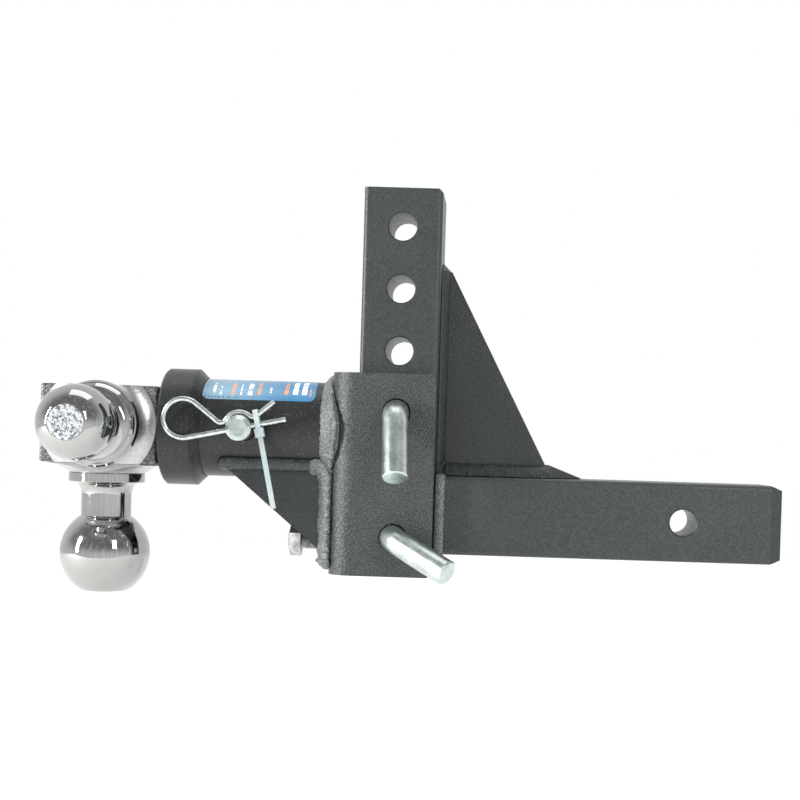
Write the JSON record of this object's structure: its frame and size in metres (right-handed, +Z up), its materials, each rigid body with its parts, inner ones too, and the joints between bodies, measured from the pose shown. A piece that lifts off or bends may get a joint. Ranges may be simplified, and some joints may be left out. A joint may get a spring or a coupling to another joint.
{
  "type": "trailer hitch",
  "caption": "Adjustable drop trailer hitch: square shank, drilled post, pinned sliding sleeve and a turnable ball head held by a lock pin and clip.",
  "frame": {"origin": "centre of the receiver pin's hole in the shank, on the shank's centre line", "axes": "+X along the shank towards the vehicle, +Z up along the drilled post, -Y is the side with the bent handles"},
  "size_m": [0.4805, 0.2008, 0.2676],
  "materials": {
    "powder_coat": "textured charcoal-black powder coat",
    "satin_paint": "satin black paint",
    "zinc_plate": "zinc plated bar, satin bright",
    "clip_wire": "zinc plated spring wire",
    "bolt_zinc": "dull zinc plate",
    "ball_chrome": "mirror chrome plate",
    "hub_satin_chrome": "satin chrome over a rough forging",
    "label_print": "glossy printed sticker",
    "tie_nylon": "natural white nylon"
  },
  "bodies": {
    "drop_frame": {"shank_bar": "powder_coat", "drop_post": "powder_coat", "gusset_plate": "powder_coat", "weld_shank_post": "powder_coat", "weld_gusset": "powder_coat"},
    "sleeve": {"sleeve_channel": "powder_coat", "receiver_tube": "satin_paint", "tube_end_ring": "satin_paint", "web_plate_near": "powder_coat", "web_plate_far": "powder_coat", "weld_tube_sleeve": "powder_coat", "weld_web_near": "powder_coat", "weld_web_far": "powder_coat", "label": "label_print", "anti_rattle_nut": "bolt_zinc"},
    "anti_rattle_bolt": {"anti_rattle_bolt": "bolt_zinc"},
    "upper_pin": {"upper_hitch_pin": "zinc_plate"},
    "upper_clip": {"upper_pin_clip": "clip_wire"},
    "lower_pin": {"lower_hitch_pin": "zinc_plate"},
    "lower_clip": {"lower_pin_clip": "clip_wire"},
    "lock_pin": {"ball_lock_pin": "zinc_plate", "lock_pin_clip": "clip_wire", "cable_tie": "tie_nylon"},
    "ball_head": {"hub_block": "hub_satin_chrome", "hub_shaft": "hub_satin_chrome", "ball_large": "ball_chrome", "ball_small": "ball_chrome", "ball_medium": "ball_chrome"}
  },
  "joints": [
    {"name": "sleeve_height_play", "type": "slide", "parent": "drop_frame", "child": "sleeve", "axis": [0, 0, 1], "range_m": [-0.0008, 0.0008]},
    {"name": "ball_head_play", "type": "hinge", "parent": "sleeve", "child": "ball_head", "pos_m": [-0.379, 0, 0.0522], "axis": [1, 0, 0], "range_deg": [-1.5, 1.5]},
    {"name": "upper_pin_turn", "type": "hinge", "parent": "sleeve", "child": "upper_pin", "pos_m": [-0.186, 0, 0.065], "axis": [0, -1, 0], "continuous": true},
    {"name": "upper_clip_pull", "type": "slide", "parent": "upper_pin", "child": "upper_clip", "axis": [1, 0, 0], "range_m": [0, 0.045], "deforming": ["upper_pin_clip"]},
    {"name": "lower_pin_turn", "type": "hinge", "parent": "sleeve", "child": "lower_pin", "pos_m": [-0.186, 0, -0.015], "axis": [0, -1, 0], "range_deg": [-140, 40]},
    {"name": "lower_clip_pull", "type": "slide", "parent": "lower_pin", "child": "lower_clip", "axis": [1, 0, 0], "range_m": [0, 0.045], "deforming": ["lower_pin_clip"]},
    {"name": "lock_pin_turn", "type": "hinge", "parent": "sleeve", "child": "lock_pin", "pos_m": [-0.285, 0, 0.0522], "axis": [0, -1, 0], "continuous": true},
    {"name": "anti_rattle_bolt_turn", "type": "hinge", "parent": "sleeve", "child": "anti_rattle_bolt", "pos_m": [-0.22, 0, -0.0205], "axis": [1, 0, 0], "continuous": true}
  ]
}
